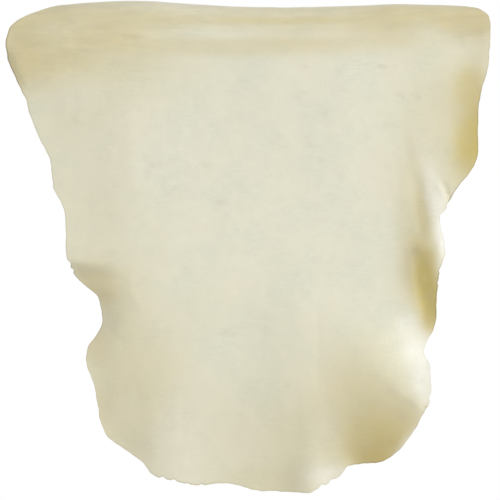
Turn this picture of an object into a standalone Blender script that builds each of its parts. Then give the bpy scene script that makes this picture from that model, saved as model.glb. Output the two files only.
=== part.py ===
"""Sheepskin leather: one whole skin, dressed without its wool, hung over a 60 mm rail that isn't part of it.

The skin is a single cut piece, worked out as a flat cut with two side edges, a front end and a back end.
The cut is bent over the rail, and then gets the swell, flutes and flared edges in which soft leather hangs.
Along is the distance from the crown of the bend: down the front above zero, down the back below zero.
Across is the distance from the middle of the rail, to the right above zero.
Metres, +Z up. The front faces -Y. The origin is where the crown of the rail meets the skin.
"""

import math
from bisect import bisect_right
from collections import namedtuple

import bmesh
import bpy

MM = 0.001

# Driving sizes

THICKNESS = 1.5 * MM
RAIL_RADIUS = 30.0 * MM
ROLL_RADIUS = RAIL_RADIUS + THICKNESS

# Matt cream leather, its colour as linear red, green and blue with no transparency

CREAM = (0.745, 0.716, 0.580, 1.0)
ROUGHNESS = 0.85

# Where the side edges turn into the ends, and how far up the fall each end's curve is felt, in mm along

FRONT_CORNER = 620.0
BACK_CORNER = -262.0
FRONT_END_FROM = 300.0
BACK_END_FROM = -90.0

# Mesh rows between two places along the skin, and columns across it

Band = namedtuple("Band", "start end rows")
BANDS = (
    Band(BACK_CORNER, -60.0, 11),
    Band(-60.0, 60.0, 15),
    Band(60.0, 360.0, 18),
    Band(360.0, FRONT_CORNER, 20),
)
COLUMNS = 42
EDGE_CROWDING = 0.3

# The cut: side edges and ends, in mm

Side = namedtuple("Side", "along across")
End = namedtuple("End", "across along")

LEFT_SIDE = (
    Side(BACK_CORNER, -250),
    Side(-195, -264),
    Side(-125, -250),
    Side(-55, -228),
    Side(-20, -244),
    Side(0, -262),
    Side(8, -278),
    Side(16, -290),
    Side(24, -302),
    Side(31, -314),
    Side(38, -326),
    Side(48, -341),
    Side(56, -347),
    Side(74, -351),
    Side(98, -348),
    Side(124, -338),
    Side(142, -330),
    Side(158, -322),
    Side(172, -319),
    Side(192, -312),
    Side(214, -303),
    Side(236, -291),
    Side(252, -287),
    Side(282, -284),
    Side(321, -267),
    Side(377, -264),
    Side(409, -255),
    Side(426, -239),
    Side(444, -220),
    Side(477, -213),
    Side(500, -223),
    Side(517, -234),
    Side(531, -236),
    Side(578, -223),
    Side(FRONT_CORNER, -217),
)
RIGHT_SIDE = (
    Side(BACK_CORNER, 262),
    Side(-180, 280),
    Side(-110, 272),
    Side(-45, 290),
    Side(-14, 304),
    Side(6, 317),
    Side(20, 331),
    Side(28, 338),
    Side(38, 346),
    Side(52, 349.5),
    Side(104, 346),
    Side(128, 341),
    Side(142, 336),
    Side(180, 330),
    Side(232, 330),
    Side(252, 325),
    Side(267, 316),
    Side(282, 304),
    Side(300, 292),
    Side(316, 285.5),
    Side(330, 276),
    Side(346, 278),
    Side(364, 282),
    Side(378, 282),
    Side(392, 277),
    Side(417, 271),
    Side(455, 270),
    Side(475, 271),
    Side(490, 270),
    Side(506, 261),
    Side(524, 256),
    Side(545, 264),
    Side(575, 263),
    Side(592, 259),
    Side(606, 248),
    Side(FRONT_CORNER, 242),
)
FRONT_END = (
    End(-217, FRONT_CORNER),
    End(-209, 643),
    End(-184, 663),
    End(-153, 684),
    End(-140, 700),
    End(-100, 711),
    End(-64, 716),
    End(-39, 712),
    End(23, 723.5),
    End(86, 722.5),
    End(100, 716),
    End(110, 711.5),
    End(131, 699.5),
    End(139, 690),
    End(150, 683),
    End(186, 677),
    End(197, 672),
    End(213, 659),
    End(225, 644),
    End(242, FRONT_CORNER),
)
BACK_END = (
    End(-250, BACK_CORNER),
    End(-212, -312),
    End(-130, -338),
    End(-52, -326),
    End(35, -349),
    End(128, -336),
    End(206, -318),
    End(262, BACK_CORNER),
)

# Folds that run down the skin: the crest's place across, its height off the plain hang, and how wide it is
# on its left and right, at each place along. A height below zero is a trough. All in mm.

Flute = namedtuple("Flute", "along across height left right")
FLUTES = {
    "crown_left": (
        Flute(-75, -172, 0, 92, 96),
        Flute(-15, -178, 9.5, 92, 96),
        Flute(15, -178, 9.5, 92, 96),
        Flute(62, -176, 7, 88, 90),
        Flute(118, -180, 0, 85, 90),
    ),
    "crown_right": (
        Flute(-60, 215, 0, 55, 65),
        Flute(-12, 218, 5, 55, 65),
        Flute(14, 218, 5, 55, 65),
        Flute(80, 215, 0, 55, 65),
    ),
    "left_shoulder": (
        Flute(25, -278, 0, 52, 70),
        Flute(60, -284, 5.4, 52, 66),
        Flute(105, -278, 5, 54, 70),
        Flute(180, -258, 0, 54, 80),
    ),
    "left_side": (
        Flute(95, -352, 0, 60, 100),
        Flute(150, -338, -6, 60, 100),
        Flute(260, -300, -7, 60, 100),
        Flute(370, -280, -7, 60, 96),
        Flute(435, -240, 0, 60, 80),
    ),
    "left_notch": (
        Flute(392, -262, 0, 40, 34),
        Flute(420, -256, -15, 40, 40),
        Flute(450, -238, -20, 40, 40),
        Flute(480, -232, -18, 40, 38),
        Flute(520, -246, -9, 40, 38),
        Flute(560, -248, 0, 40, 42),
    ),
    "lower_left_edge": (
        Flute(520, -236, 0, 60, 62),
        Flute(590, -224, -10, 60, 58),
        Flute(650, -200, -13, 60, 54),
        Flute(730, -170, -12, 60, 52),
    ),
    "lower_left_crest": (
        Flute(455, -128, 0, 62, 46),
        Flute(560, -127, 1.2, 60, 44),
        Flute(640, -125, 2.4, 56, 42),
        Flute(730, -122, 3.6, 54, 40),
    ),
    "lower_middle_trough": (
        Flute(430, -42, 0, 52, 66),
        Flute(540, -40, -1, 50, 66),
        Flute(640, -39, -1.8, 48, 64),
        Flute(730, -38, -2.6, 46, 62),
    ),
    "lower_middle_crest": (
        Flute(410, 70, 0, 50, 44),
        Flute(470, 72, 2.2, 46, 44),
        Flute(560, 76, 2.4, 46, 44),
        Flute(620, 82, 2.2, 42, 38),
        Flute(650, 85, 3.4, 38, 34),
        Flute(700, 86, 8.5, 32, 28),
        Flute(735, 86, 11, 30, 28),
    ),
    "lower_right_trough": (
        Flute(560, 136, 0, 28, 36),
        Flute(610, 140, -1, 28, 38),
        Flute(660, 142, -2, 28, 38),
        Flute(730, 144, -3, 28, 38),
    ),
    "lower_right_crest": (
        Flute(560, 286, 0, 110, 40),
        Flute(620, 272, 9, 124, 40),
        Flute(655, 260, 24, 132, 40),
        Flute(700, 252, 38, 132, 40),
        Flute(740, 250, 40, 132, 40),
    ),
    "right_crest": (
        Flute(140, 224, 0, 36, 36),
        Flute(226, 250, 1.0, 36, 32),
        Flute(299, 263, 3.8, 36, 30),
        Flute(342, 267, 7.5, 33, 26),
        Flute(360, 270, 9.5, 34, 25),
        Flute(378, 273, 19, 37, 20),
        Flute(408, 278, 24, 34, 23),
        Flute(434, 281, 20, 27, 26),
        Flute(460, 282, 14, 20, 26),
        Flute(484, 276, 6, 18, 24),
        Flute(506, 266, 0, 20, 24),
    ),
    "right_notch": (
        Flute(458, 280, 0, 46, 30),
        Flute(496, 270, -14, 52, 30),
        Flute(530, 268, -20, 54, 30),
        Flute(572, 274, -14, 50, 30),
        Flute(608, 278, 0, 44, 30),
    ),
    "right_shoulder_flare": (
        Flute(78, 360, 0, 40, 30),
        Flute(118, 355, 5, 42, 30),
        Flute(184, 350, 12.5, 40, 30),
        Flute(234, 347, 13, 40, 30),
        Flute(264, 339, 9, 38, 30),
        Flute(292, 322, 0, 36, 30),
    ),
    "right_corner": (
        Flute(12, 358, 0, 52, 40),
        Flute(34, 358, 6, 52, 40),
        Flute(62, 356, 6, 52, 40),
        Flute(104, 352, 0, 52, 40),
    ),
    "right_shoulder_trough": (
        Flute(100, 292, 0, 34, 26),
        Flute(184, 296, -1, 34, 24),
        Flute(260, 296, -1.5, 24, 22),
        Flute(305, 290, 0, 22, 22),
    ),
    "back_left_crest": (
        Flute(-360, -158, 10, 60, 62),
        Flute(-220, -156, 7, 62, 66),
        Flute(-75, -150, 0, 64, 70),
    ),
    "back_right_crest": (
        Flute(-360, 112, 11, 66, 56),
        Flute(-220, 118, 7, 68, 60),
        Flute(-75, 126, 0, 70, 64),
    ),
    "back_right_edge": (
        Flute(-360, 272, -3, 60, 40),
        Flute(-200, 288, -2, 66, 40),
        Flute(-100, 290, 0, 66, 40),
    ),
}

# Folds that run across the skin, with the crest's place along, its height, and how far it is felt
# towards the back end and towards the front end, at each place across. All in mm.

Ripple = namedtuple("Ripple", "across along height before after")
RIPPLES = {
    "crown_slack": (
        Ripple(-352, 0, 0, 28, 28),
        Ripple(-290, 0, 0.6, 28, 28),
        Ripple(-245, 0, 1.3, 28, 28),
        Ripple(-180, 0, 0.4, 28, 28),
        Ripple(-110, 0, 1.7, 28, 28),
        Ripple(-56, 0, 1.6, 28, 28),
        Ripple(2, 0, 0.7, 28, 28),
        Ripple(89, 0, 0.7, 28, 28),
        Ripple(140, 0, 1.9, 28, 28),
        Ripple(205, 0, 0.4, 28, 28),
        Ripple(240, 0, 0.6, 28, 28),
        Ripple(300, 0, 2.1, 28, 28),
        Ripple(352, 0, 1.6, 28, 28),
    ),
    "lower_right_fold": (
        Ripple(100, 500, 0, 60, 60),
        Ripple(150, 536, 7, 62, 112),
        Ripple(200, 570, 16, 62, 124),
        Ripple(241, 594, 26, 60, 110),
        Ripple(280, 612, 31, 56, 100),
    ),
    "swell_under_rail": (
        Ripple(-355, 100, 4, 24, 90),
        Ripple(-200, 94, 8, 23, 120),
        Ripple(0, 90, 11, 21, 135),
        Ripple(110, 89, 12, 20, 135),
        Ripple(230, 92, 9, 22, 110),
        Ripple(352, 100, 3, 24, 90),
    ),
    "notch_fold": (
        Ripple(-272, 386, 7, 26, 13),
        Ripple(-230, 389, 7, 28, 14),
        Ripple(-190, 392, 6, 30, 18),
        Ripple(-140, 396, 2, 32, 24),
        Ripple(-100, 398, 0, 32, 24),
    ),
    "back_swell": (
        Ripple(-262, -92, 3, 90, 24),
        Ripple(0, -90, 7, 110, 24),
        Ripple(285, -92, 4, 90, 24),
    ),
}


def slope_at(places, values, i):
    """The slope of a smooth curve at one point of it, flat where the points turn back."""
    steps = [
        (values[k + 1] - values[k]) / (places[k + 1] - places[k])
        for k in (i - 1, i)
        if 0 <= k < len(places) - 1
    ]
    if len(steps) == 1:
        return steps[0]
    before, after = steps
    return 2 * before * after / (before + after) if before * after > 0 else 0.0


def row_at(rows, place):
    """The row of a table at a place between its rows, which are in order of their first column."""
    place = min(max(place, rows[0][0]), rows[-1][0])
    i = min(bisect_right([row[0] for row in rows], place), len(rows) - 1) - 1
    span = rows[i + 1][0] - rows[i][0]
    t = (place - rows[i][0]) / span
    found = [place]
    places = [row[0] for row in rows]
    for values in list(zip(*rows))[1:]:
        found.append(
            values[i] * (2 * t**3 - 3 * t**2 + 1)
            + values[i + 1] * (3 * t**2 - 2 * t**3)
            + slope_at(places, values, i) * span * (t**3 - 2 * t**2 + t)
            + slope_at(places, values, i + 1) * span * (t**3 - t**2)
        )
    return type(rows[0])(*found)


def fold_height(rows, place, side):
    """The height of one fold, side being the distance in the direction that the fold is crossed."""
    if not rows[0][0] <= place <= rows[-1][0]:
        return 0.0
    _, crest, height, before, after = row_at(rows, place)
    reach = before if side < crest else after
    return height * math.exp(-(((side - crest) / reach) ** 2))


def relief(across, along):
    """How far the skin stands off its plain hang, in mm."""
    down = sum(fold_height(rows, along, across) for rows in FLUTES.values())
    level = sum(fold_height(rows, across, along) for rows in RIPPLES.values())
    return down + level


def end_reach(end, corner, start, along, across_at_corner):
    """How far a row near an end is drawn towards that end's own curve, in mm."""
    share = (along - start) / (corner - start)
    if share <= 0:
        return 0.0
    return share**2 * (row_at(end, across_at_corner).along - corner)


def cut_point(column, along):
    """(across, along) in mm of the flat cut, for a share of its width and a row's place along."""

    def across_at(place):
        left = row_at(LEFT_SIDE, place).across
        return left + (row_at(RIGHT_SIDE, place).across - left) * column

    front = end_reach(FRONT_END, FRONT_CORNER, FRONT_END_FROM, along, across_at(FRONT_CORNER))
    back = end_reach(BACK_END, BACK_CORNER, BACK_END_FROM, along, across_at(BACK_CORNER))
    return across_at(along), along + front + back


def hung_point(across, along):
    """The point of the skin's outer face, in metres, for a place on the flat cut in mm."""
    angle = min(max(along * MM / ROLL_RADIUS, -math.pi / 2), math.pi / 2)
    fall = abs(along * MM) - ROLL_RADIUS * abs(angle)
    stand_off = ROLL_RADIUS + relief(across, along) * MM
    return (
        across * MM,
        -stand_off * math.sin(angle),
        stand_off * math.cos(angle) - RAIL_RADIUS - fall,
    )


def row_places():
    """The place along of each row of the mesh, in mm, from the back end to the front end."""
    places = [BANDS[0].start]
    for band in BANDS:
        step = (band.end - band.start) / band.rows
        places += [band.start + step * (i + 1) for i in range(band.rows)]
    return places


def column_share(share):
    """Crowds the columns a little towards the side edges."""
    return share + EDGE_CROWDING * (0.5 - 0.5 * math.cos(math.pi * share) - share)


def leather():
    """Plain cream leather."""
    material = bpy.data.materials.new("cream_sheepskin_leather")
    material.use_nodes = True
    shader = material.node_tree.nodes["Principled BSDF"]
    shader.inputs["Base Color"].default_value = CREAM
    shader.inputs["Roughness"].default_value = ROUGHNESS
    shader.inputs["Metallic"].default_value = 0.0
    material.diffuse_color = CREAM
    return material


def sheepskin(collection):
    """The whole skin: its outer face as a bent and folded grid, given its thickness inwards."""
    places = row_places()
    rows = len(places) - 1
    mesh = bpy.data.meshes.new("sheepskin")
    skin = bmesh.new()
    bmesh.ops.create_grid(skin, x_segments=COLUMNS, y_segments=rows, size=0.5)
    for vertex in skin.verts:
        column = column_share(vertex.co.x + 0.5)
        row = round((vertex.co.y + 0.5) * rows)
        vertex.co = hung_point(*cut_point(column, places[row]))
    bmesh.ops.recalc_face_normals(skin, faces=skin.faces)
    if sum((face.normal.y for face in skin.faces if face.calc_center_median().y < 0)) > 0:
        bmesh.ops.reverse_faces(skin, faces=skin.faces)
    skin.to_mesh(mesh)
    skin.free()
    mesh.shade_smooth()
    mesh.materials.append(leather())
    piece = bpy.data.objects.new("sheepskin", mesh)
    collection.objects.link(piece)
    shell = piece.modifiers.new("thickness", "SOLIDIFY")
    shell.thickness = THICKNESS
    shell.offset = -1
    shell.use_even_offset = True
    return piece


def main():
    for item in list(bpy.data.objects):
        bpy.data.objects.remove(item)
    collection = bpy.data.collections.new("sheepskin_over_rail")
    bpy.context.scene.collection.children.link(collection)
    sheepskin(collection)


main()
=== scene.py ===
"""A whole sheepskin leather, dressed without its wool, hanging over an unseen rail.

The skin is cut flat, bent over the rail and given the folds of its solid, and then its own finer creases.
Along is the distance from the crown of the bend: down the front above zero, down the back below zero.
Across is the distance from the middle of the rail, to the right above zero. Tables are in millimetres.
"""

import math
from collections import namedtuple

import bmesh
import bpy
import numpy as np
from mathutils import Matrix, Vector, noise


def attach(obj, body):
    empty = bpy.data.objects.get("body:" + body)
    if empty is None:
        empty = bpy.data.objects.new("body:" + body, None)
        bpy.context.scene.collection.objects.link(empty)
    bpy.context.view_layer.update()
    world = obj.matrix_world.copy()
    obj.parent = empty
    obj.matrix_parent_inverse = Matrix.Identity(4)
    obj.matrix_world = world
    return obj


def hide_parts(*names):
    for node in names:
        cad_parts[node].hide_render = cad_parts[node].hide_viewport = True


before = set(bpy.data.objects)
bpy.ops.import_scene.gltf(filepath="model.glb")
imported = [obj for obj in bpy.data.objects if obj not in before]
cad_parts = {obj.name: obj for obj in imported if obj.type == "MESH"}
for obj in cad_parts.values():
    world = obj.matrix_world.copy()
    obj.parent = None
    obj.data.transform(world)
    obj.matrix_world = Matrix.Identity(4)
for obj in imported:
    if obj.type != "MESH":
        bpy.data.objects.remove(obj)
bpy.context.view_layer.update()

bl_info = {
    "name": "Sheepskin over a Rail",
    "version": (1, 0, 0),
    "blender": (4, 5, 0),
    "location": "View3D > Sidebar > Sheepskin",
    "description": "Hangs a dressed sheepskin leather over an unseen rail and lights it",
    "category": "Add Mesh",
}

MM = 0.001
NODE = "sheepskin"

# The stage: half the floor's width, the height that the lights are aimed at, and the camera, which faces
# the front squarely

FLOOR_REACH = 2.1
AIM_HEIGHT = -0.35
CAMERA_PLACE = (0.0021, -1.74, -0.3552)
LENS_MM = 85

# Where the side edges turn into the ends, and how far up the fall each end's curve is felt

FRONT_CORNER = 620.0
BACK_CORNER = -262.0
FRONT_END_FROM = 300.0
BACK_END_FROM = -90.0

# Mesh rows between two places along the skin. They are closest over the rail, where the ripples are small.

Band = namedtuple("Band", "start end rows")
BANDS = (
    Band(BACK_CORNER, -256.0, 3),
    Band(-256.0, -60.0, 38),
    Band(-60.0, 0.0, 18),
    Band(0.0, 130.0, 50),
    Band(130.0, 612.0, 132),
    Band(612.0, FRONT_CORNER, 4),
)

# How strongly the mesh's columns crowd towards the side edges, and the rounding of the cut edge: its share of
# the thickness, and the turn in degrees from which it is an edge

EDGE_CROWDING = 0.3
RIM_SHARE = 0.3
RIM_TURN = 60

# A cut edge is ragged: a seed for each edge and the way that leads into the skin from it, the sizes in mm and
# shares of its wandering, and how far in it fades, as a share of the width at a side and in mm at an end

Edge = namedtuple("Edge", "seed inward")
EDGES = {
    "left": Edge(1.0, 1),
    "right": Edge(2.0, -1),
    "front": Edge(3.0, -1),
    "back": Edge(4.0, 1),
}
Wander = namedtuple("Wander", "size share seed")
WANDERS = (
    Wander(24, 1.0, 0),
    Wander(8.5, 0.6, 5),
)
SIDE_FADE = 0.04
END_FADE = 24.0

# Soft waves in the face, longer down the fall than across it: their sizes in mm and their share of the height

Wave = namedtuple("Wave", "across along share seed")
WAVES = (
    Wave(64, 130, 1.0, 3.7),
    Wave(21, 34, 0.32, 9.1),
)

# The cut: side edges and ends

Side = namedtuple("Side", "along across")
End = namedtuple("End", "across along")

LEFT_SIDE = (
    Side(BACK_CORNER, -250),
    Side(-195, -264),
    Side(-125, -250),
    Side(-55, -228),
    Side(-20, -244),
    Side(0, -262),
    Side(8, -278),
    Side(16, -290),
    Side(24, -302),
    Side(31, -314),
    Side(38, -326),
    Side(48, -341),
    Side(56, -347),
    Side(74, -351),
    Side(98, -348),
    Side(124, -338),
    Side(142, -330),
    Side(158, -322),
    Side(172, -319),
    Side(192, -312),
    Side(214, -303),
    Side(236, -291),
    Side(252, -287),
    Side(282, -284),
    Side(321, -267),
    Side(377, -264),
    Side(409, -255),
    Side(426, -239),
    Side(444, -220),
    Side(477, -213),
    Side(500, -223),
    Side(517, -234),
    Side(531, -236),
    Side(578, -223),
    Side(FRONT_CORNER, -217),
)
RIGHT_SIDE = (
    Side(BACK_CORNER, 262),
    Side(-180, 280),
    Side(-110, 272),
    Side(-45, 290),
    Side(-14, 304),
    Side(6, 317),
    Side(20, 331),
    Side(28, 338),
    Side(38, 346),
    Side(52, 349.5),
    Side(104, 346),
    Side(128, 341),
    Side(142, 336),
    Side(180, 330),
    Side(232, 330),
    Side(252, 325),
    Side(267, 316),
    Side(282, 304),
    Side(300, 292),
    Side(316, 285.5),
    Side(330, 276),
    Side(346, 278),
    Side(364, 282),
    Side(378, 282),
    Side(392, 277),
    Side(417, 271),
    Side(455, 270),
    Side(475, 271),
    Side(490, 270),
    Side(506, 261),
    Side(524, 256),
    Side(545, 264),
    Side(575, 263),
    Side(592, 259),
    Side(606, 248),
    Side(FRONT_CORNER, 242),
)
FRONT_END = (
    End(-217, FRONT_CORNER),
    End(-209, 643),
    End(-184, 663),
    End(-153, 684),
    End(-140, 700),
    End(-100, 711),
    End(-64, 716),
    End(-39, 712),
    End(23, 723.5),
    End(86, 722.5),
    End(100, 716),
    End(110, 711.5),
    End(131, 699.5),
    End(139, 690),
    End(150, 683),
    End(186, 677),
    End(197, 672),
    End(213, 659),
    End(225, 644),
    End(242, FRONT_CORNER),
)
BACK_END = (
    End(-250, BACK_CORNER),
    End(-212, -312),
    End(-130, -338),
    End(-52, -326),
    End(35, -349),
    End(128, -336),
    End(206, -318),
    End(262, BACK_CORNER),
)

# Small nicks in the cut edge: where along it, how deep and how wide

Nick = namedtuple("Nick", "edge place depth width")
NICKS = (
    Nick("left", 394, 4.0, 5),
    Nick("left", 404, 3.0, 4),
    Nick("right", 309, 2.5, 5),
    Nick("right", 323, 2.0, 4),
    Nick("right", 403, 2.5, 4),
    Nick("right", 421, 2.5, 4),
    Nick("right", 586, 2.5, 5),
    Nick("right", 598, 2.5, 4),
    Nick("front", -211, 2.5, 4),
    Nick("front", -124, 3.5, 5),
    Nick("front", -108, 3.0, 4),
    Nick("front", -88, 2.5, 4),
    Nick("front", -68, 2.5, 4),
    Nick("front", 105, 3.5, 5),
    Nick("front", 119, 3.5, 5),
    Nick("front", 142, 3.0, 5),
    Nick("front", 240, 3.5, 4),
)

# Folds that run down the skin: the crest's place across, its height off the plain hang, and how wide it is
# on its left and right, at each place along. A height below zero is a trough.

Flute = namedtuple("Flute", "along across height left right")
FLUTES = {
    "crown_left": (
        Flute(-75, -172, 0, 92, 96),
        Flute(-15, -178, 9.5, 92, 96),
        Flute(15, -178, 9.5, 92, 96),
        Flute(62, -176, 7, 88, 90),
        Flute(118, -180, 0, 85, 90),
    ),
    "crown_right": (
        Flute(-60, 215, 0, 55, 65),
        Flute(-12, 218, 5, 55, 65),
        Flute(14, 218, 5, 55, 65),
        Flute(80, 215, 0, 55, 65),
    ),
    "left_shoulder": (
        Flute(25, -278, 0, 52, 70),
        Flute(60, -284, 5.4, 52, 66),
        Flute(105, -278, 5, 54, 70),
        Flute(180, -258, 0, 54, 80),
    ),
    "left_side": (
        Flute(95, -352, 0, 60, 100),
        Flute(150, -338, -6, 60, 100),
        Flute(260, -300, -7, 60, 100),
        Flute(370, -280, -7, 60, 96),
        Flute(435, -240, 0, 60, 80),
    ),
    "left_notch": (
        Flute(392, -262, 0, 40, 34),
        Flute(420, -256, -15, 40, 40),
        Flute(450, -238, -20, 40, 40),
        Flute(480, -232, -18, 40, 38),
        Flute(520, -246, -9, 40, 38),
        Flute(560, -248, 0, 40, 42),
    ),
    "lower_left_edge": (
        Flute(520, -236, 0, 60, 62),
        Flute(590, -224, -10, 60, 58),
        Flute(650, -200, -13, 60, 54),
        Flute(730, -170, -12, 60, 52),
    ),
    "lower_left_crest": (
        Flute(455, -128, 0, 62, 46),
        Flute(560, -127, 1.2, 60, 44),
        Flute(640, -125, 2.4, 56, 42),
        Flute(730, -122, 3.6, 54, 40),
    ),
    "lower_middle_trough": (
        Flute(430, -42, 0, 52, 66),
        Flute(540, -40, -1, 50, 66),
        Flute(640, -39, -1.8, 48, 64),
        Flute(730, -38, -2.6, 46, 62),
    ),
    "lower_middle_crest": (
        Flute(410, 70, 0, 50, 44),
        Flute(470, 72, 2.2, 46, 44),
        Flute(560, 76, 2.4, 46, 44),
        Flute(620, 82, 2.2, 42, 38),
        Flute(650, 85, 3.4, 38, 34),
        Flute(700, 86, 8.5, 32, 28),
        Flute(735, 86, 11, 30, 28),
    ),
    "lower_right_trough": (
        Flute(560, 136, 0, 28, 36),
        Flute(610, 140, -1, 28, 38),
        Flute(660, 142, -2, 28, 38),
        Flute(730, 144, -3, 28, 38),
    ),
    "lower_right_crest": (
        Flute(560, 286, 0, 110, 40),
        Flute(620, 272, 9, 124, 40),
        Flute(655, 260, 24, 132, 40),
        Flute(700, 252, 38, 132, 40),
        Flute(740, 250, 40, 132, 40),
    ),
    "right_crest": (
        Flute(140, 224, 0, 36, 36),
        Flute(226, 250, 1.0, 36, 32),
        Flute(299, 263, 3.8, 36, 30),
        Flute(342, 267, 7.5, 33, 26),
        Flute(360, 270, 9.5, 34, 25),
        Flute(378, 273, 19, 37, 20),
        Flute(408, 278, 24, 34, 23),
        Flute(434, 281, 20, 27, 26),
        Flute(460, 282, 14, 20, 26),
        Flute(484, 276, 6, 18, 24),
        Flute(506, 266, 0, 20, 24),
    ),
    "right_notch": (
        Flute(458, 280, 0, 46, 30),
        Flute(496, 270, -14, 52, 30),
        Flute(530, 268, -20, 54, 30),
        Flute(572, 274, -14, 50, 30),
        Flute(608, 278, 0, 44, 30),
    ),
    "right_shoulder_flare": (
        Flute(78, 360, 0, 40, 30),
        Flute(118, 355, 5, 42, 30),
        Flute(184, 350, 12.5, 40, 30),
        Flute(234, 347, 13, 40, 30),
        Flute(264, 339, 9, 38, 30),
        Flute(292, 322, 0, 36, 30),
    ),
    "right_corner": (
        Flute(12, 358, 0, 52, 40),
        Flute(34, 358, 6, 52, 40),
        Flute(62, 356, 6, 52, 40),
        Flute(104, 352, 0, 52, 40),
    ),
    "right_shoulder_trough": (
        Flute(100, 292, 0, 34, 26),
        Flute(184, 296, -1, 34, 24),
        Flute(260, 296, -1.5, 24, 22),
        Flute(305, 290, 0, 22, 22),
    ),
    "back_left_crest": (
        Flute(-360, -158, 10, 60, 62),
        Flute(-220, -156, 7, 62, 66),
        Flute(-75, -150, 0, 64, 70),
    ),
    "back_right_crest": (
        Flute(-360, 112, 11, 66, 56),
        Flute(-220, 118, 7, 68, 60),
        Flute(-75, 126, 0, 70, 64),
    ),
    "back_right_edge": (
        Flute(-360, 272, -3, 60, 40),
        Flute(-200, 288, -2, 66, 40),
        Flute(-100, 290, 0, 66, 40),
    ),
}

# Folds that run across the skin: the crest's place along, its height, and how far it is felt towards the
# back end and towards the front end, at each place across

Ripple = namedtuple("Ripple", "across along height before after")
RIPPLES = {
    "crown_slack": (
        Ripple(-352, 0, 0, 28, 28),
        Ripple(-290, 0, 0.6, 28, 28),
        Ripple(-245, 0, 1.3, 28, 28),
        Ripple(-180, 0, 0.4, 28, 28),
        Ripple(-110, 0, 1.7, 28, 28),
        Ripple(-56, 0, 1.6, 28, 28),
        Ripple(2, 0, 0.7, 28, 28),
        Ripple(89, 0, 0.7, 28, 28),
        Ripple(140, 0, 1.9, 28, 28),
        Ripple(205, 0, 0.4, 28, 28),
        Ripple(240, 0, 0.6, 28, 28),
        Ripple(300, 0, 2.1, 28, 28),
        Ripple(352, 0, 1.6, 28, 28),
    ),
    "lower_right_fold": (
        Ripple(100, 500, 0, 60, 60),
        Ripple(150, 536, 7, 62, 112),
        Ripple(200, 570, 16, 62, 124),
        Ripple(241, 594, 26, 60, 110),
        Ripple(280, 612, 31, 56, 100),
    ),
    "swell_under_rail": (
        Ripple(-355, 100, 4, 24, 90),
        Ripple(-200, 94, 8, 23, 120),
        Ripple(0, 90, 11, 21, 135),
        Ripple(110, 89, 12, 20, 135),
        Ripple(230, 92, 9, 22, 110),
        Ripple(352, 100, 3, 24, 90),
    ),
    "notch_fold": (
        Ripple(-272, 386, 7, 26, 13),
        Ripple(-230, 389, 7, 28, 14),
        Ripple(-190, 392, 6, 30, 18),
        Ripple(-140, 396, 2, 32, 24),
        Ripple(-100, 398, 0, 32, 24),
    ),
    "back_swell": (
        Ripple(-262, -92, 3, 90, 24),
        Ripple(0, -90, 7, 110, 24),
        Ripple(285, -92, 4, 90, 24),
    ),
}

# Small creases in the leather's face: the (across, along) points that each runs through, its height, and
# how far it is felt on its left and right, looking along it. A height below zero is a soft trough.

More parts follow.
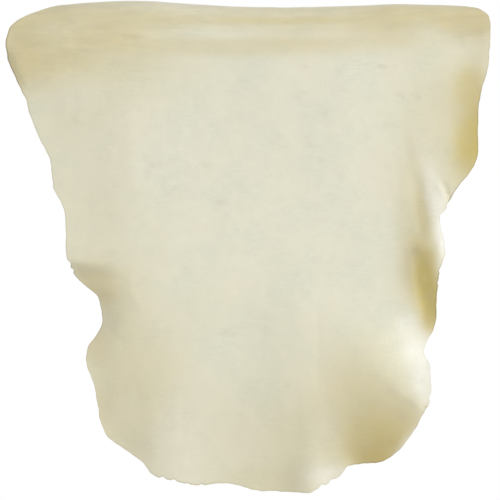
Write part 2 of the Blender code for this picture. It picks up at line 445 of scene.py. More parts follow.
Crease = namedtuple("Crease", "height left right path")
CREASES = {
    "roll_line": Crease(2.4, 6, 20, ((-135, 62), (-20, 61), (80, 60.5), (150, 61))),
    "roll_line_left": Crease(1.0, 12, 20, ((-262, 76), (-205, 75), (-150, 72))),
    "roll_groove": Crease(-1.2, 7, 5, ((-70, 54), (20, 53), (120, 53))),
    "roll_streak": Crease(1.4, 5, 4, ((44, 34), (90, 33), (148, 35))),
    "roll_streak_left": Crease(0.6, 6, 5, ((-170, 41), (-130, 42), (-96, 40))),
    "swell_line": Crease(1.0, 6, 26, ((-40, 90), (30, 91), (112, 89))),
    "left_corner_ridge": Crease(2.0, 12, 9, ((-346, 62), (-318, 68), (-270, 76), (-240, 86))),
    "left_corner_trough": Crease(-0.7, 8, 8, ((-338, 112), (-300, 105), (-262, 97), (-235, 100))),
    "left_corner_wrinkle": Crease(-1.2, 4, 4, ((-296, 118), (-280, 119), (-262, 116))),
    "left_corner_lower": Crease(1.0, 8, 14, ((-322, 134), (-296, 128), (-256, 116))),
    "right_corner_line": Crease(1.3, 5, 14, ((300, 70), (325, 65), (353, 63))),
    "left_corner_curl": Crease(-3.4, 8, 8, ((-354, 74), (-350, 96), (-340, 122), (-325, 150))),
    "left_corner_streak": Crease(1.0, 4, 4, ((-292, 58), (-274, 58), (-258, 59))),
    "left_corner_patch": Crease(-1.0, 6, 5, ((-322, 136), (-300, 128), (-286, 118))),
    "left_roll_fold": Crease(-1.4, 5, 5, ((-192, 67), (-176, 69), (-158, 69))),
    "left_roll_streak": Crease(-0.8, 4, 4, ((-158, 42), (-134, 43), (-100, 42))),
    "left_crown_line": Crease(-0.8, 5, 5, ((-300, 41), (-276, 42), (-252, 46))),
    "right_roll_line": Crease(1.0, 7, 16, ((196, 47), (240, 45), (290, 50))),
    "left_panel_bend": Crease(1.4, 26, 40, ((-182, 120), (-177, 250), (-176, 380))),
    "notch_crease": Crease(1.3, 14, 8, ((-262, 402), (-220, 401), (-176, 404))),
    "notch_wrinkle": Crease(-0.4, 5, 5, ((-252, 384), (-225, 380), (-190, 386))),
    "groove_line": Crease(0.8, 20, 16, ((228, 178), (244, 228), (256, 275), (264, 316), (270, 352))),
    "groove_head": Crease(-0.5, 8, 8, ((220, 190), (228, 222), (236, 250))),
    "groove_middle": Crease(-1.0, 7, 6, ((242, 262), (249, 290), (256, 322), (258, 345))),
    "groove_foot": Crease(
        -2.2, 22, 9, ((236, 250), (241, 275), (246, 300), (250, 322), (252, 345), (253, 366))
    ),
    "patch_shoulder": Crease(1.8, 8, 26, ((231, 372), (233, 410), (240, 450), (248, 492))),
    "patch_wrinkle": Crease(-1.2, 6, 6, ((250, 412), (262, 416), (274, 410))),
    "groove_side": Crease(-0.5, 14, 18, ((216, 170), (226, 250), (232, 320))),
    "shoulder_foot": Crease(2.0, 28, 24, ((283, 180), (287, 230), (291, 270), (296, 300))),
    "edge_tear": Crease(-3.2, 2.2, 2.2, ((274, 272), (284, 284), (290, 300), (286, 316))),
    "edge_tear_lip": Crease(1.6, 4, 3, ((268, 276), (277, 288), (283, 302))),
    "dark_patch_top": Crease(2.8, 6, 9, ((234, 372), (258, 372), (284, 374))),
    "corner_fold_line": Crease(2.0, 12, 6, ((192, 570), (212, 578), (232, 588), (254, 608))),
    "corner_left_line": Crease(-0.8, 14, 20, ((143, 606), (146, 640), (147, 690))),
    "middle_crest_line": Crease(0.7, 14, 14, ((78, 590), (79, 650), (81, 724))),
    "notch_streak": Crease(0.6, 7, 8, ((-174, 398), (-172, 420), (-166, 445), (-152, 470))),
    "notch_lip": Crease(-0.8, 4, 4, ((-210, 494), (-192, 502), (-176, 516))),
    "left_panel_line": Crease(0.35, 9, 12, ((-172, 150), (-166, 220), (-171, 300))),
    "lower_left_line": Crease(0.35, 6, 10, ((-106, 560), (-105, 620), (-108, 680))),
    "lower_left_dent": Crease(-0.5, 6, 6, ((-163, 562), (-161, 580), (-162, 596))),
    "lower_middle_line": Crease(-0.35, 8, 10, ((66, 540), (70, 610), (71, 700))),
    "lower_middle_dent": Crease(-0.8, 8, 8, ((104, 628), (118, 632), (132, 630))),
    "corner_edge_curl": Crease(-3.0, 12, 12, ((128, 692), (160, 680), (196, 674), (226, 658))),
    "corner_wrinkle": Crease(-1.0, 8, 8, ((160, 612), (195, 606), (226, 612))),
}

# Points on a crease's curve between two of its own, and the share of its length over which each end fades out

CREASE_STEPS = 7
CREASE_FADE = 0.28

# Patches of deeper colour; the tan ones are partly the skin's own tone and partly painted shade. Each gives
# the middle, the half width and half height, the turn in degrees, and how strong it is

Patch = namedtuple("Patch", "across along wide tall turn strength")
TAN_TONE_AND_PAINTED_SHADE = (
    Patch(0, 24, 620, 27, 0, 0.54),
    Patch(-60, 43, 230, 5, 0, 0.35),
    Patch(70, 43, 110, 5.5, 0, 0.4),
    Patch(-12, 82, 190, 13, 0, 0.53),
    Patch(-335, 76, 46, 56, 0, 0.78),
    Patch(-240, 26, 66, 22, 0, 0.35),
    Patch(-312, 34, 54, 17, 0, 0.45),
    Patch(-290, 92, 62, 34, -8, 0.48),
    Patch(-212, 66, 62, 18, 0, 0.7),
    Patch(-200, 100, 76, 34, 0, 0.32),
    Patch(-92, 660, 30, 50, 0, 0.1),
    Patch(106, 632, 26, 30, 0, 0.12),
    Patch(-150, 46, 66, 30, 0, 0.4),
    Patch(-172, 68, 16, 5, 0, 0.4),
    Patch(-292, 113, 44, 15, -20, 0.1),
    Patch(190, 50, 44, 22, 0, 0.5),
    Patch(225, 33, 62, 14, 0, 0.6),
    Patch(318, 44, 50, 26, 0, 0.85),
    Patch(306, 150, 36, 46, 0, 0.3),
    Patch(268, 240, 44, 130, -8, 0.3),
    Patch(238, 330, 24, 80, -8, 0.35),
    Patch(240, 400, 20, 50, 0, 0.6),
    Patch(-185, 210, 56, 150, 0, 0.08),
    Patch(-240, 250, 90, 190, 0, 0.2),
    Patch(-222, 426, 40, 30, 26, 0.72),
    Patch(-190, 450, 50, 60, 0, 0.25),
    Patch(-173, 560, 74, 84, 0, 0.5),
    Patch(-222, 514, 22, 26, 0, 0.5),
    Patch(-212, 606, 16, 26, 0, 0.4),
    Patch(216, 66, 34, 16, 0, 0.4),
    Patch(-255, -180, 40, 120, 0, 0.35),
    Patch(262, -200, 34, 120, 0, 0.35),
    Patch(0, -335, 220, 30, 0, 0.25),
    Patch(30, 708, 66, 22, 0, 0.4),
    Patch(96, 66, 96, 14, 0, 0.5),
    Patch(130, 520, 66, 40, 0, 0.08),
    Patch(150, 580, 66, 48, 0, 0.06),
    Patch(170, 590, 60, 44, 10, 0.4),
    Patch(96, 640, 70, 54, 0, 0.25),
    Patch(0, 700, 190, 120, 0, 0.18),
    Patch(-60, 460, 60, 40, 0, 0.06),
    Patch(210, 606, 50, 26, 0, 0.3),
    Patch(-184, 652, 52, 26, 30, 0.3),
)
# Gold patches are painted shade and the painted glow of light through the thin curled edges
GOLD_PAINTED_SHADE_AND_GLOW = (
    Patch(300, 28, 90, 24, 0, 0.1),
    Patch(-330, 60, 30, 40, 0, 0.06),
    Patch(-294, 118, 66, 30, -10, 0.2),
    Patch(318, 142, 22, 32, 0, 0.52),
    Patch(322, 219, 26, 50, 8, 0.87),
    Patch(232, 604, 18, 22, 0, 0.12),
    Patch(326, 224, 14, 36, 0, 0.45),
    Patch(-190, 140, 120, 60, 0, 0.07),
    Patch(260, 304, 14, 50, -8, 0.18),
    Patch(257, 422, 18, 50, -8, 0.86),
    Patch(264, 450, 17, 46, -7, 0.9),
    Patch(268, 466, 14, 35, 0, 0.9),
    Patch(186, 652, 62, 42, 0, 0.7),
    Patch(172, 545, 56, 50, -30, 0.12),
    Patch(184, 674, 34, 14, 0, 0.72),
    Patch(80, 668, 70, 56, 0, 0.08),
    Patch(150, 575, 66, 48, 0, 0.08),
    Patch(-180, 600, 50, 60, 0, 0.05),
    Patch(70, 42, 110, 6, 0, 0.1),
)
# Brown patches are painted shade where the edges and folds turn away from the light
BROWN_PAINTED_SHADE = (
    Patch(194, 672, 38, 34, 0, 0.42),
    Patch(176, 640, 70, 44, 0, 0.16),
    Patch(326, 140, 14, 60, 0, 0.12),
    Patch(346, 70, 16, 36, 0, 0.12),
    Patch(334, 150, 10, 60, 0, 0.1),
    Patch(259, 388, 14, 18, 0, 0.2),
    Patch(252, 324, 9, 34, -8, 0.34),
    Patch(244, 284, 9, 40, -8, 0.06),
)
# Grey patches are painted shade that darkens the lower part
GREY_PAINTED_SHADE = (
    Patch(50, 500, 40, 90, 0, 0.15),
    Patch(-170, 520, 60, 40, 0, 0.13),
    Patch(-92, 654, 28, 56, 0, 0.28),
    Patch(106, 632, 26, 30, 0, 0.32),
    Patch(-160, 384, 50, 16, 0, 0.14),
    Patch(96, 698, 50, 22, 0, 0.2),
    Patch(-211, 600, 14, 40, 0, 0.3),
    Patch(240, 548, 18, 22, 0, 0.15),
    Patch(60, 640, 130, 70, 0, 0.22),
    Patch(-20, 590, 170, 110, 0, 0.1),
    Patch(-150, 600, 60, 60, 0, 0.08),
)
# Pale patches are painted highlights on lit crests, rims and the top of the bend
PALE_PAINTED_HIGHLIGHTS = (
    Patch(118, 700, 34, 16, 0, 0.4),
    Patch(-20, -2, 290, 16, 0, 0.55),
    Patch(282, 352, 10, 30, 0, 0.9),
    Patch(230, 482, 16, 18, 0, 0.45),
    Patch(-262, 144, 50, 30, 0, 0.16),
    Patch(-178, 612, 18, 26, 0, 0.1),
    Patch(224, 650, 8, 30, 39, 0.4),
    Patch(-150, 220, 80, 70, 0, 0.15),
    Patch(60, 64, 190, 6, 0, 0.12),
    Patch(270, 303, 14, 54, -12, 0.57),
    Patch(252, 520, 28, 28, 0, 0.66),
    Patch(275, 405, 8, 22, 0, 0.3),
    Patch(-130, 24, 80, 9, 0, 0.18),
    Patch(254, 568, 18, 28, 0, 0.55),
    Patch(112, 668, 26, 56, 0, 0.12),
    Patch(-96, 660, 30, 60, 0, 0.2),
)

# Where the leather is crumpled, and its shade is painted as fine streaks that run across it

CRUMPLE_PAINTED_SHADE = (
    Patch(-262, 60, 130, 58, 0, 0.8),
    Patch(0, 32, 340, 26, 0, 0.8),
    Patch(-140, 66, 90, 20, 0, 0.5),
    Patch(318, 40, 60, 36, 0, 0.7),
    Patch(-215, 400, 60, 30, 0, 0.4),
)

# Small grey flecks and healed scars in the grain

FLECKS = (
    Patch(-64, 252, 6, 3, 10, 0.28),
    Patch(-40, 306, 8, 4, 0, 0.28),
    Patch(-54, 300, 5, 2, 0, 0.17),
    Patch(-139, 252, 4, 3, 0, 0.28),
    Patch(-126, 250, 4, 3, -30, 0.17),
    Patch(-106, 285, 6, 2, -20, 0.22),
    Patch(193, 110, 6, 2, 15, 0.45),
    Patch(186, 111, 4, 2, -10, 0.22),
    Patch(215, 150, 5, 2, 30, 0.34),
    Patch(222, 154, 4, 2, 60, 0.28),
    Patch(245, 155, 4, 4, 40, 0.45),
    Patch(238, 150, 5, 2, -10, 0.28),
    Patch(200, 194, 7, 2, 0, 0.28),
    Patch(212, 196, 3, 2, 0, 0.17),
    Patch(89, 223, 5, 4, 0, 0.22),
    Patch(104, 245, 4, 4, 0, 0.17),
    Patch(96, 232, 3, 2, 0, 0.17),
    Patch(57, 570, 4, 5, 0, 0.39),
    Patch(62, 584, 2, 6, 10, 0.22),
    Patch(-165, 568, 4, 8, 0, 0.22),
    Patch(-252, 184, 4, 3, 0, 0.28),
    Patch(-246, 190, 5, 2, 20, 0.17),
    Patch(77, 150, 11, 2, 0, 0.22),
    Patch(70, 156, 4, 2, 0, 0.17),
    Patch(110, 179, 4, 5, 20, 0.22),
    Patch(139, 146, 6, 2, 0, 0.17),
    Patch(49, 226, 7, 2, -10, 0.22),
    Patch(36, 222, 5, 2, 0, 0.17),
    Patch(-32, 494, 10, 4, 0, 0.22),
    Patch(-118, 493, 8, 2, 0, 0.17),
    Patch(-167, 151, 14, 2, 0, 0.17),
    Patch(-140, 153, 8, 2, 0, 0.17),
    Patch(81, 111, 5, 2, 0, 0.28),
    Patch(-196, 376, 6, 2, 0, 0.17),
    Patch(30, 408, 4, 2, 30, 0.17),
    Patch(-12, 614, 6, 3, 0, 0.17),
    Patch(120, 390, 4, 2, 0, 0.17),
    Patch(150, 330, 6, 2, 0, 0.14),
    Patch(-90, 400, 6, 2, 0, 0.17),
    Patch(10, 340, 5, 2, 0, 0.14),
    Patch(-10, 130, 6, 2, 0, 0.14),
)

# Where the cut edge curls back, so that its painted shade shows as a stronger thin dark line

CURLED_EDGE_PAINTED_SHADE = (
    Patch(-343, 100, 26, 52, 0, 1.0),
    Patch(332, 190, 22, 90, 0, 0.6),
    Patch(296, 288, 20, 22, 0, 1.0),
    Patch(-240, 422, 30, 44, 0, 1.0),
    Patch(274, 445, 16, 52, 0, 0.9),
    Patch(190, 674, 40, 12, 0, 0.6),
    Patch(-212, 628, 14, 18, 0, 0.9),
    Patch(-92, 712, 44, 14, 0, 0.35),
)

# What the leather's material reads at each point, and its tints in the order in which they are laid on

LAYERS = {
    "tan": TAN_TONE_AND_PAINTED_SHADE,
    "gold": GOLD_PAINTED_SHADE_AND_GLOW,
    "brown": BROWN_PAINTED_SHADE,
    "grey": GREY_PAINTED_SHADE,
    "pale": PALE_PAINTED_HIGHLIGHTS,
    "fleck": FLECKS,
    "crumple_shade": CRUMPLE_PAINTED_SHADE,
}
TINTS = ("tan", "gold", "brown", "grey", "pale", "fleck", "edge")

# How abruptly a patch ends, and the cut edge's painted shade everywhere and more where it curls back

PATCH_EDGE = 2.2
EDGE_PAINTED_SHADE = 0.15
EDGE_CURL_PAINTED_SHADE = 0.65

# The two sides of the leather: roughness, the nap's depth in mm, and how strongly its fibres catch the light

Finish = namedtuple("Finish", "roughness nap sheen")
FACE_FINISH = Finish(0.85, 0.16, 0.12)
FLESH_FINISH = Finish(0.92, 0.3, 0.2)


def linear(code):
    """An sRGB hex colour as the linear RGBA that a shader takes."""
    channels = [int(code[i : i + 2], 16) / 255 for i in (1, 3, 5)]
    return tuple(c / 12.92 if c <= 0.04045 else ((c + 0.055) / 1.055) ** 2.4 for c in channels) + (1.0,)


def per_metre(size):
    """How many times a pattern of that size in millimetres repeats in a metre."""
    return 1000.0 / size


# Properties


def length_property(name, description, default, largest=5.0):
    return bpy.props.FloatProperty(
        name=name, description=description, default=default, min=0.0, max=largest,
        subtype="DISTANCE", unit="LENGTH",
    )


def angle_property(name, description, degrees):
    return bpy.props.FloatProperty(
        name=name, description=description, default=math.radians(degrees), subtype="ANGLE", unit="ROTATION"
    )


def colour_property(name, description, code):
    return bpy.props.FloatVectorProperty(
        name=name, description=description, default=linear(code)[:3], size=3, min=0.0, max=1.0,
        subtype="COLOR",
    )


class SkinSizes(bpy.types.PropertyGroup):
    thickness: length_property("Thickness", "Thickness of the leather", 1.5 * MM)
    rail: length_property("Rail Radius", "Radius of the unseen rail inside the fold", 30.0 * MM)
    ragged: length_property("Ragged Edge", "How far the cut edge wanders from a clean line", 1.3 * MM)
    unevenness: length_property("Unevenness", "Height of the soft waves in the leather's face", 1.0 * MM)
    columns: bpy.props.IntProperty(
        name="Columns", description="Mesh columns across the skin", default=170, min=20, max=180
    )


class SkinColours(bpy.types.PropertyGroup):
    cream: colour_property("Cream", "The pale middle of the skin", "#e3e1cf")
    # The pale tint is painted highlight on lit crests and rims
    pale: colour_property("Pale", "Rubbed crests and rims", "#f3f2e9")
    # The tan tint is partly the skin's own tone and partly painted shade over the bend and the corners
    tan: colour_property("Tan", "The bend and the corners", "#d4c89f")
    # The gold tint is painted shade and the painted glow of light through the thin edges on the right
    gold: colour_property("Gold", "The dense, aged edges on the right", "#d6c47d")
    # The brown tint is painted shade, deepest where the edges turn away from the light
    brown: colour_property("Brown", "The darkest of the aged edges", "#b09a52")
    # The grey tint is painted shade that dulls the lower part
    grey: colour_property("Grey", "The duller lower part", "#c8c3ac")
    fleck: colour_property("Flecks", "Small flecks and scars in the grain", "#c8c3ac")
    # The cut edge's tint is painted shade: a thin dark line along the rim
    edge: colour_property("Cut Edge", "The browned line of the cut edge", "#8f8050")
    flesh: colour_property("Flesh Side", "The rougher inner face", "#dccfae")


class Studio(bpy.types.PropertyGroup):
    key_power: bpy.props.FloatProperty(
        name="Key Power", description="Power of the soft key light", default=1358.0, min=0.0,
        subtype="POWER", unit="POWER",
    )
    key_size: length_property("Key Size", "Width of the soft key light", 4.2)
    key_distance: length_property("Key Distance", "From the skin to the key light", 14.0, 30.0)
    key_side: angle_property("Key Side", "How far the key light is to the right of the camera", 40)
    key_height: angle_property("Key Height", "How far the key light is above the skin's middle", 22)
    fill: bpy.props.FloatProperty(
        name="Fill", description="Strength of the even light from all round", default=0.43, min=0.0, max=2.0
    )
    floor_drop: length_property("Floor Drop", "From the crown of the fold down to the floor", 1.2)


# The hang


def smooth_rows(rows, places):
    """The columns of a table at many places between its rows, which are in order of their first column."""
    table = np.array(rows, float)
    knots, values = table[:, 0], table[:, 1:]
    places = np.clip(places, knots[0], knots[-1])
    i = np.clip(np.searchsorted(knots, places, side="right") - 1, 0, len(knots) - 2)
    span = np.diff(knots)
    steps = np.diff(values, axis=0) / span[:, None]
    before, after = steps[:-1], steps[1:]
    same_way = before * after > 0
    middle = np.where(same_way, 2 * before * after / np.where(same_way, before + after, 1), 0)
    slopes = np.vstack([steps[:1], middle, steps[-1:]])
    t = ((places - knots[i]) / span[i])[:, None]
    width = span[i][:, None]
    found = (
        values[i] * (2 * t**3 - 3 * t**2 + 1)
        + values[i + 1] * (3 * t**2 - 2 * t**3)
        + slopes[i] * width * (t**3 - 2 * t**2 + t)
        + slopes[i + 1] * width * (t**3 - t**2)
    )
    return type(rows[0])(places, *found.T)


def fold_height(rows, place, side):
    """The height of one fold at many points, side being the distance in the direction that it is crossed."""
    _, crest, height, before, after = smooth_rows(rows, place)
    reach = np.where(side < crest, before, after)
    inside = (place >= rows[0][0]) & (place <= rows[-1][0])
    return np.where(inside, height * np.exp(-(((side - crest) / reach) ** 2)), 0.0)


def crease_path(points):
    """A crease's points with more between them, on a smooth curve through them all."""
    points = [Vector(point) for point in points]
    padded = [2 * points[0] - points[1], *points, 2 * points[-1] - points[-2]]
    path = []
    for a, b, c, d in zip(padded, padded[1:], padded[2:], padded[3:]):
        square = 2 * a - 5 * b + 4 * c - d
        cube = 3 * b - a - 3 * c + d
        for step in range(CREASE_STEPS):
            t = step / CREASE_STEPS
            path.append(0.5 * (2 * b + (c - a) * t + square * t**2 + cube * t**3))
    return path + [points[-1]]


def crease_height(crease, across, along):
    """The height of one crease at many points. It fades out at both ends of its path."""
    path = crease_path(crease.path)
    lengths = [(end - start).length for start, end in zip(path, path[1:])]
    total = sum(lengths)
    nearest = np.full(across.shape, np.inf)
    sided = np.zeros(across.shape)
    share = np.zeros(across.shape)
    run = 0.0
    for start, end, length in zip(path, path[1:], lengths):
        way = (end - start) / length
        reach = (across - start.x) * way.x + (along - start.y) * way.y
        on = np.clip(reach, 0, length)
        off = np.hypot(across - start.x - way.x * on, along - start.y - way.y * on)
        closer = off < nearest
        nearest = np.where(closer, off, nearest)
        sided = np.where(closer, (across - start.x) * way.y - (along - start.y) * way.x, sided)
        share = np.where(closer, (run + on) / total, share)
        run += length
    width = np.where(sided > 0, crease.left, crease.right)
    ends = np.clip(np.minimum(share, 1 - share) / CREASE_FADE, 0, 1)
    return crease.height * np.exp(-((nearest / width) ** 2)) * ends**2 * (3 - 2 * ends)


def waves(across, along, height):
    """Soft uneven waves at many points, in mm."""
    found = np.zeros(across.shape)
    for wave in WAVES:
        spots = zip(across / wave.across, along / wave.along)
        found += wave.share * np.array([noise.noise(Vector((x, y, wave.seed))) for x, y in spots])
    return height * found


def end_reach(end, corner, start, along, across_at_corner):
    """How far a row near an end is drawn towards that end's own curve, in mm."""
    share = np.clip((along - start) / (corner - start), 0, None)
    return share**2 * (smooth_rows(end, across_at_corner).along - corner)


def edge_shift(name, places, ragged):
    """How far a cut edge lies off its smooth line, ragged and nicked, at each place along it, in mm."""
    edge = EDGES[name]
    shift = np.zeros(places.shape)
    for wander in WANDERS:
        spots = places / wander.size
        strays = [noise.noise(Vector((spot, edge.seed, wander.seed))) for spot in spots]
        shift += ragged * wander.share * np.array(strays)
    for nick in NICKS:
        if nick.edge == name:
            shift += edge.inward * nick.depth * np.clip(1 - np.abs(places - nick.place) / nick.width, 0, 1)
    return shift


def row_places():
    """The place along of each row of the mesh, in mm, from the back end to the front end."""
    places = [BANDS[0].start]
    for band in BANDS:
        step = (band.end - band.start) / band.rows
        places += [band.start + step * (i + 1) for i in range(band.rows)]
    return np.array(places)


def crowded(share):
    """Crowds the columns a little towards the side edges."""
    return share + EDGE_CROWDING * (0.5 - 0.5 * np.cos(math.pi * share) - share)


def cut_places(column, along, ragged):
    """(across, along) in mm on the flat cut, for each point's share of the width and its row's place."""

    def across_at(place):
        left = smooth_rows(LEFT_SIDE, place).across
        right = smooth_rows(RIGHT_SIDE, place).across
        return left, right

    left, right = across_at(along)
    corners = [across_at(np.full(column.shape, corner)) for corner in (FRONT_CORNER, BACK_CORNER)]
    at_front, at_back = (low + (high - low) * column for low, high in corners)
    front = end_reach(FRONT_END, FRONT_CORNER, FRONT_END_FROM, along, at_front)
    back = end_reach(BACK_END, BACK_CORNER, BACK_END_FROM, along, at_back)
    across = left + (right - left) * column
    near_left = np.clip(1 - column / SIDE_FADE, 0, 1) ** 2
    near_right = np.clip(1 - (1 - column) / SIDE_FADE, 0, 1) ** 2
    near_front = np.clip(1 - (FRONT_CORNER - along) / END_FADE, 0, 1) ** 2
    near_back = np.clip(1 - (along - BACK_CORNER) / END_FADE, 0, 1) ** 2
    across += near_left * edge_shift("left", along, ragged)
    across += near_right * edge_shift("right", along, ragged)
    front += near_front * edge_shift("front", at_front, ragged)
    back += near_back * edge_shift("back", at_back, ragged)
    return across, along + front + back


def relief(across, along, unevenness):
    """How far the skin stands off its plain hang, in mm."""
    height = waves(across, along, unevenness)
    for rows in FLUTES.values():
        height += fold_height(rows, along, across)
    for rows in RIPPLES.values():
        height += fold_height(rows, across, along)
    for crease in CREASES.values():
        height += crease_height(crease, across, along)
    return height


def hung(across, along, stand_off, roll):
    """The points of the skin's outer face, in metres, bent over a roll of that radius."""
    angle = np.clip(along * MM / roll, -math.pi / 2, math.pi / 2)
    fall = np.abs(along * MM) - roll * np.abs(angle)
    reach = roll + stand_off * MM
    return np.stack([across * MM, -reach * np.sin(angle), reach * np.cos(angle) - fall], axis=1)


def patches(table, across, along):
    """How strongly each point takes a colour, from 0 to 1, where its soft patches lie."""
    bare = np.ones(across.shape)
    for patch in table:
        turn = math.radians(patch.turn)
        x, y = across - patch.across, along - patch.along
        wide = (x * math.cos(turn) + y * math.sin(turn)) / patch.wide
        tall = (y * math.cos(turn) - x * math.sin(turn)) / patch.tall
        bare *= 1 - patch.strength / (1 + (wide**2 + tall**2) ** PATCH_EDGE)
    return 1 - bare


def store(mesh, name, kind, values):
    """Keeps a value for each point of a mesh, for its material to read."""
    layer = mesh.attributes.new(name, kind, "POINT")
    layer.data.foreach_set("vector" if kind == "FLOAT_VECTOR" else "value", np.ravel(values))


# Materials


def add(tree, kind, inputs, output=0, **settings):
    """Adds a node and gives one of its outputs, if it has any. Inputs take values, or links from outputs."""
    made = tree.nodes.new(kind)
    for name, value in settings.items():
        setattr(made, name, value)
    pairs = inputs.items() if isinstance(inputs, dict) else enumerate(inputs)
    for name, value in pairs:
        socket = made.inputs[name]
        if isinstance(value, bpy.types.NodeSocket):
            tree.links.new(value, socket)
        else:
            socket.default_value = value
    return made.outputs[output] if made.outputs else None


def empty_material(name):
    material = bpy.data.materials.new(name)
    material.use_nodes = True
    tree = material.node_tree
    tree.nodes.clear()
    return material, tree


def grained_leather(name, face, colours, finish):
    """Soft dressed sheepskin, shaved and brushed: matt, with a fine nap and cloudy, uneven colour."""
    material, tree = empty_material(name)
    white = (1.0, 1.0, 1.0, 1.0)
    nap_depth = finish.nap * MM
    place = add(tree, "ShaderNodeAttribute", {}, "Vector", attribute_name="cut_place")
    brushed = add(tree, "ShaderNodeMapping", {"Vector": place, "Scale": (1.0, 4.0, 1.0)})
    slant = {"Vector": place, "Rotation": (0, 0, math.radians(-4)), "Scale": (1.0, 5.0, 1.0)}
    slanted = add(tree, "ShaderNodeMapping", slant)

    # Clouds 75 mm wide, blotches 16 mm wide and brush marks 14 mm long by 3.5 mm, as the dressing leaves
    #     # them, and streaks 50 mm long by 10 mm, a little aslant, for the painted shade where the skin is
    #     crumpled
    noises = (
        {"Vector": place, "Scale": per_metre(75), "Detail": 3.0, "Roughness": 0.55},
        {"Vector": place, "Scale": per_metre(16), "Detail": 3.0, "Roughness": 0.6},
        {"Vector": brushed, "Scale": per_metre(14), "Detail": 3.0, "Distortion": 0.8},
        {"Vector": slanted, "Scale": per_metre(50), "Detail": 5.0, "Distortion": 1.0},
    )
    clouds, blotches, marks, streaks = (add(tree, "ShaderNodeTexNoise", n, "Fac") for n in noises)

    # The clouds turn the face's colour a touch warmer and cooler. Map Range takes a value, its range and the
    # range that it becomes. Mix takes an amount at 0 and two colours at 6 and 7, and gives its colour at 2.
    cloudy = add(tree, "ShaderNodeMapRange", (clouds, 0.36, 0.64, 0.0, 1.0))
    shifts = ((1.0, 0.985, 0.96), (0.98, 1.0, 0.985))
    warm, cool = (tuple(c * k for c, k in zip(face, shift)) + (1.0,) for shift in shifts)
    colour = add(tree, "ShaderNodeMix", {0: cloudy, 6: warm, 7: cool}, 2, data_type="RGBA")

    # Each tint lies in its own patches, which the blotches break up. All but the flecks paint shade or
    # highlight, tan in part
    if colours:
        broken = add(tree, "ShaderNodeMapRange", (blotches, 0.3, 0.7, 0.88, 1.1))
        for tint in TINTS:
            there = add(tree, "ShaderNodeAttribute", {}, "Fac", attribute_name=tint)
            amount = add(tree, "ShaderNodeMath", (there, broken), operation="MULTIPLY", use_clamp=True)
            laid = (*getattr(colours, tint), 1.0)
            colour = add(tree, "ShaderNodeMix", {0: amount, 6: colour, 7: laid}, 2, data_type="RGBA")

    # The brush marks come and go. They, the blotches and the streaks darken it by a few parts in a hundred.
    brushing = add(tree, "ShaderNodeMapRange", (clouds, 0.45, 0.6, 0.1, 1.0))
    marked = add(tree, "ShaderNodeMapRange", (marks, 0.3, 0.7, 0.95, 1.0))
    marked = add(tree, "ShaderNodeMix", {0: brushing, 6: white, 7: marked}, 2, data_type="RGBA")
    blotched = add(tree, "ShaderNodeMapRange", (blotches, 0.25, 0.75, 0.95, 1.0))
    # Where the skin is crumpled, the streaks paint its shade
    crumple_shade_amount = add(tree, "ShaderNodeAttribute", {}, "Fac", attribute_name="crumple_shade")
    crumple_shade = add(tree, "ShaderNodeMapRange", (streaks, 0.35, 0.65, 0.94, 1.02))
    crumple_shade = add(tree, "ShaderNodeMix", {0: crumple_shade_amount, 6: white, 7: crumple_shade}, 2, data_type="RGBA")
    shade = add(tree, "ShaderNodeMath", (blotched, marked), operation="MULTIPLY", use_clamp=True)
    shade = add(tree, "ShaderNodeMath", (shade, crumple_shade), operation="MULTIPLY", use_clamp=True)
    colour = add(tree, "ShaderNodeVectorMath", {0: colour, "Scale": shade}, operation="SCALE")

    # A nap of 2.6 mm tufts over hair marks 9 mm long by 2 mm, both coarser than real so that they show
    tufts = {"Vector": place, "Scale": per_metre(2.6), "Detail": 3.0, "Roughness": 0.7}
    nap = add(tree, "ShaderNodeTexNoise", tufts, "Fac")
    hairs = {"Vector": brushed, "Scale": per_metre(9), "Randomness": 1.0}
    pores = add(tree, "ShaderNodeTexVoronoi", hairs, "Distance", feature="SMOOTH_F1")
    bump = add(tree, "ShaderNodeBump", {"Height": pores, "Strength": 1.0, "Distance": 0.25 * nap_depth})
    for height, depth in ((blotches, 1.6 * nap_depth), (nap, nap_depth)):
        over = {"Height": height, "Strength": 1.0, "Distance": depth, "Normal": bump}
        bump = add(tree, "ShaderNodeBump", over)
    smoothest, roughest = finish.roughness - 0.05, finish.roughness + 0.05
    leather = {
        "Base Color": colour,
        "Roughness": add(tree, "ShaderNodeMapRange", (nap, 0.3, 0.7, smoothest, roughest)),
        "Normal": bump,
        "IOR": 1.48,
        "Specular IOR Level": 0.25,
        "Sheen Weight": finish.sheen,
        "Sheen Roughness": 0.55,
    }
    add(tree, "ShaderNodeOutputMaterial", {"Surface": add(tree, "ShaderNodeBsdfPrincipled", leather)})
    return material


def studio_paper():
    """Matt white background paper, with fibres 3 mm long that barely show."""
    material, tree = empty_material("white_paper")
    place = add(tree, "ShaderNodeTexCoord", {}, "Object")
    fibrous = {"Vector": place, "Scale": per_metre(3.0), "Detail": 2.0}
    fibres = add(tree, "ShaderNodeTexNoise", fibrous, "Fac")
    bump = add(tree, "ShaderNodeBump", {"Height": fibres, "Strength": 0.3, "Distance": 0.1 * MM})
    paper = {"Base Color": linear("#e9e8e4"), "Roughness": 0.9, "Normal": bump}
    add(tree, "ShaderNodeOutputMaterial", {"Surface": add(tree, "ShaderNodeBsdfPrincipled", paper)})
    return material


# Operators


def link(piece):
    bpy.context.scene.collection.objects.link(piece)
    return piece


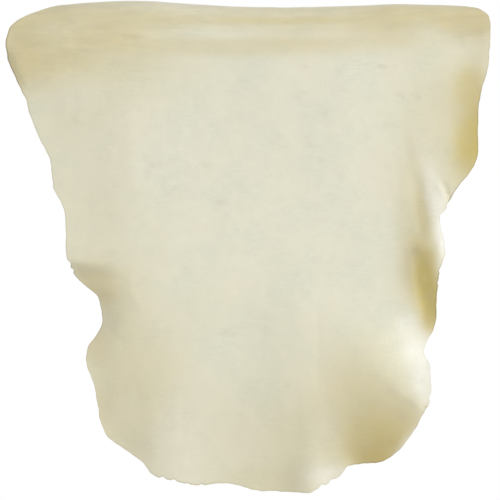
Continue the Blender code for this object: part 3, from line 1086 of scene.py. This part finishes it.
def cut_skin(sizes):
    """The skin's outer face as an open mesh, hung, and the flat cut's area in square metres."""
    places = row_places()
    rows = len(places) - 1
    skin = bmesh.new()
    bmesh.ops.create_grid(skin, x_segments=sizes.columns, y_segments=rows, size=0.5)
    start = np.array([vertex.co for vertex in skin.verts])
    on_edge = np.array([vertex.is_boundary for vertex in skin.verts])
    column = crowded(start[:, 0] + 0.5)
    along = places[np.rint((start[:, 1] + 0.5) * rows).astype(int)]
    across, along = cut_places(column, along, sizes.ragged / MM)
    for vertex, x, y in zip(skin.verts, across * MM, along * MM):
        vertex.co = (x, y, 0.0)
    area = sum(face.calc_area() for face in skin.faces)
    roll = sizes.rail + sizes.thickness
    points = hung(across, along, relief(across, along, sizes.unevenness / MM), roll)
    for vertex, point in zip(skin.verts, points):
        vertex.co = Vector(point) - Vector((0, 0, sizes.rail))

    # The outer face looks away from the rail, so the front fall faces -Y
    bmesh.ops.recalc_face_normals(skin, faces=skin.faces)
    if sum(face.normal.y for face in skin.faces if face.calc_center_median().y < 0) > 0:
        bmesh.ops.reverse_faces(skin, faces=skin.faces)
    mesh = bpy.data.meshes.new("sheepskin_leather")
    skin.to_mesh(mesh)
    skin.free()
    mesh.shade_smooth()
    store(mesh, "cut_place", "FLOAT_VECTOR", np.stack([across, along, 0 * along], axis=1) * MM)
    for name, table in LAYERS.items():
        store(mesh, name, "FLOAT", patches(table, across, along))
    # The cut edge's painted shade: a thin dark line all round, darker where the edge curls back
    shaded = EDGE_PAINTED_SHADE + EDGE_CURL_PAINTED_SHADE * patches(CURLED_EDGE_PAINTED_SHADE, across, along)
    store(mesh, "edge", "FLOAT", on_edge * shaded)
    return mesh, area


class SHEEPSKIN_OT_hang_skin(bpy.types.Operator):
    """Cut the skin, hang it over the unseen rail and give it its leather"""

    bl_idname = "sheepskin.hang_skin"
    bl_label = "Hang the Skin"
    bl_options = {"REGISTER", "UNDO"}

    def execute(self, context):
        sizes = context.scene.sheepskin_sizes
        colours = context.scene.sheepskin_colours
        mesh, area = cut_skin(sizes)
        face = grained_leather("brushed_sheepskin_leather", colours.cream, colours, FACE_FINISH)
        flesh = grained_leather("sheepskin_flesh_side", colours.flesh, None, FLESH_FINISH)
        mesh.materials.append(face)
        mesh.materials.append(flesh)
        skin = link(bpy.data.objects.new("sheepskin_leather", mesh))
        shell = skin.modifiers.new("thickness", "SOLIDIFY")
        shell.thickness = sizes.thickness
        shell.offset = -1
        shell.use_even_offset = False
        shell.material_offset = 1
        shell.material_offset_rim = 1
        rim = skin.modifiers.new("soft_cut_edge", "BEVEL")
        rim.width = RIM_SHARE * sizes.thickness
        rim.segments = 2
        rim.limit_method = "ANGLE"
        rim.angle_limit = math.radians(RIM_TURN)
        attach(skin, "root")
        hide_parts(NODE)
        return {"FINISHED"}


def soft_light(name, studio, side):
    """A square area light aimed at the skin's middle, from so far round to the right of the camera."""
    data = bpy.data.lights.new(name, "AREA")
    data.size = studio.key_size
    data.energy = studio.key_power
    level = math.cos(studio.key_height)
    away = Vector((math.sin(side) * level, -math.cos(side) * level, math.sin(studio.key_height)))
    lamp = link(bpy.data.objects.new(name, data))
    lamp.location = Vector((0, 0, AIM_HEIGHT)) + away * studio.key_distance
    lamp.rotation_euler = away.to_track_quat("Z", "Y").to_euler()


def white_world(strength):
    """Even white light from all round, and plain white behind the skin."""
    world = bpy.data.worlds.new("white_studio")
    bpy.context.scene.world = world
    world.use_nodes = True
    tree = world.node_tree
    tree.nodes.clear()
    white = linear("#ffffff")
    light = add(tree, "ShaderNodeBackground", {"Color": white, "Strength": strength})
    backdrop = add(tree, "ShaderNodeBackground", {"Color": white, "Strength": 1.0})
    seen = add(tree, "ShaderNodeLightPath", {}, "Is Camera Ray")
    both = add(tree, "ShaderNodeMixShader", (seen, light, backdrop))
    add(tree, "ShaderNodeOutputWorld", {"Surface": both})


class SHEEPSKIN_OT_set_stage(bpy.types.Operator):
    """Lay a pale floor under the skin, light it softly and face it with the camera"""

    bl_idname = "sheepskin.set_stage"
    bl_label = "Set the Stage"
    bl_options = {"REGISTER", "UNDO"}

    def execute(self, context):
        studio = context.scene.sheepskin_studio
        floor = bmesh.new()
        bmesh.ops.create_grid(floor, x_segments=2, y_segments=2, size=FLOOR_REACH)
        bmesh.ops.translate(floor, verts=floor.verts, vec=(0, 0, -studio.floor_drop))
        mesh = bpy.data.meshes.new("studio_floor")
        floor.to_mesh(mesh)
        floor.free()
        mesh.materials.append(studio_paper())
        link(bpy.data.objects.new("studio_floor", mesh))

        # The back gets a light like the front's, so that it can be looked at too
        soft_light("key", studio, studio.key_side)
        soft_light("back_key", studio, studio.key_side + math.pi)
        white_world(studio.fill)

        lens = bpy.data.cameras.new("camera")
        lens.lens = LENS_MM
        camera = link(bpy.data.objects.new("camera", lens))
        camera.location = CAMERA_PLACE
        camera.rotation_euler = (math.radians(90), 0, 0)
        context.scene.camera = camera
        context.scene.view_settings.view_transform = "Standard"
        return {"FINISHED"}


class SHEEPSKIN_PT_panel(bpy.types.Panel):
    """Sizes, colours and light of the hanging sheepskin"""

    bl_idname = "SHEEPSKIN_PT_panel"
    bl_label = "Sheepskin"
    bl_space_type = "VIEW_3D"
    bl_region_type = "UI"
    bl_category = "Sheepskin"

    def draw(self, context):
        scene = context.scene
        for operator in OPERATORS:
            self.layout.operator(operator.bl_idname)
        for group in (scene.sheepskin_sizes, scene.sheepskin_colours, scene.sheepskin_studio):
            column = self.layout.column(align=True)
            for name in group.__annotations__:
                column.prop(group, name)


OPERATORS = (SHEEPSKIN_OT_hang_skin, SHEEPSKIN_OT_set_stage)
CLASSES = (SkinSizes, SkinColours, Studio, *OPERATORS, SHEEPSKIN_PT_panel)


def register():
    for made in CLASSES:
        bpy.utils.register_class(made)
    bpy.types.Scene.sheepskin_sizes = bpy.props.PointerProperty(type=SkinSizes)
    bpy.types.Scene.sheepskin_colours = bpy.props.PointerProperty(type=SkinColours)
    bpy.types.Scene.sheepskin_studio = bpy.props.PointerProperty(type=Studio)


def unregister():
    del bpy.types.Scene.sheepskin_studio
    del bpy.types.Scene.sheepskin_colours
    del bpy.types.Scene.sheepskin_sizes
    for made in reversed(CLASSES):
        bpy.utils.unregister_class(made)


def main():
    register()
    bpy.ops.sheepskin.hang_skin()
    bpy.ops.sheepskin.set_stage()


if __name__ == "__main__":
    main()
